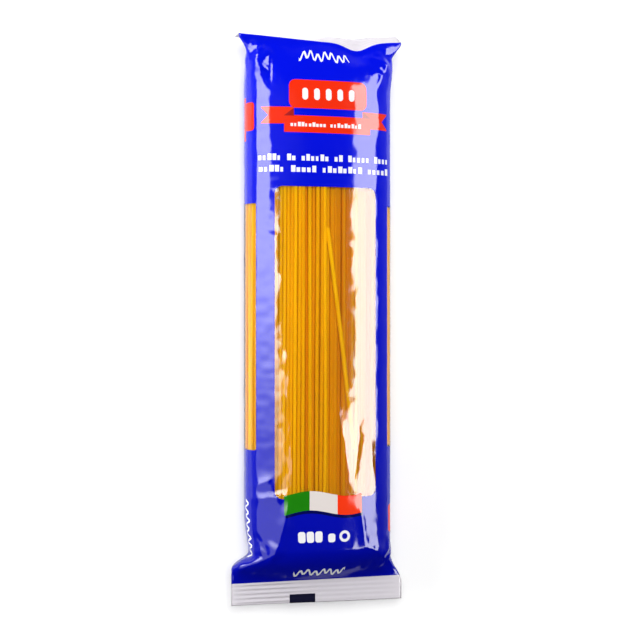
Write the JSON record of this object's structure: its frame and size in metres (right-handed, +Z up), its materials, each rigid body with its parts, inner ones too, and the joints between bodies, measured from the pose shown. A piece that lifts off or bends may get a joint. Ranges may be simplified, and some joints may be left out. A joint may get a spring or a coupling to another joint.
{
  "type": "pasta packet",
  "caption": "Pillow bag of printed blue film with clear windows, filled with long straight pasta and lying on its back; top seal folded back.",
  "frame": {"origin": "under the middle of the packet's box, on the surface that it lies on", "axes": "+Z up through the printed front, +Y along the packet towards its top, +X to the right as seen from the front"},
  "size_m": [0.0916, 0.2966, 0.028],
  "materials": {
    "film": "glossy printed plastic film, blue, with clear windows and clear crimped seals",
    "pasta": "dry amber-yellow semolina pasta, seen through the film's windows"
  },
  "bodies": {
    "root": {"film_packet": "film"}
  },
  "joints": []
}
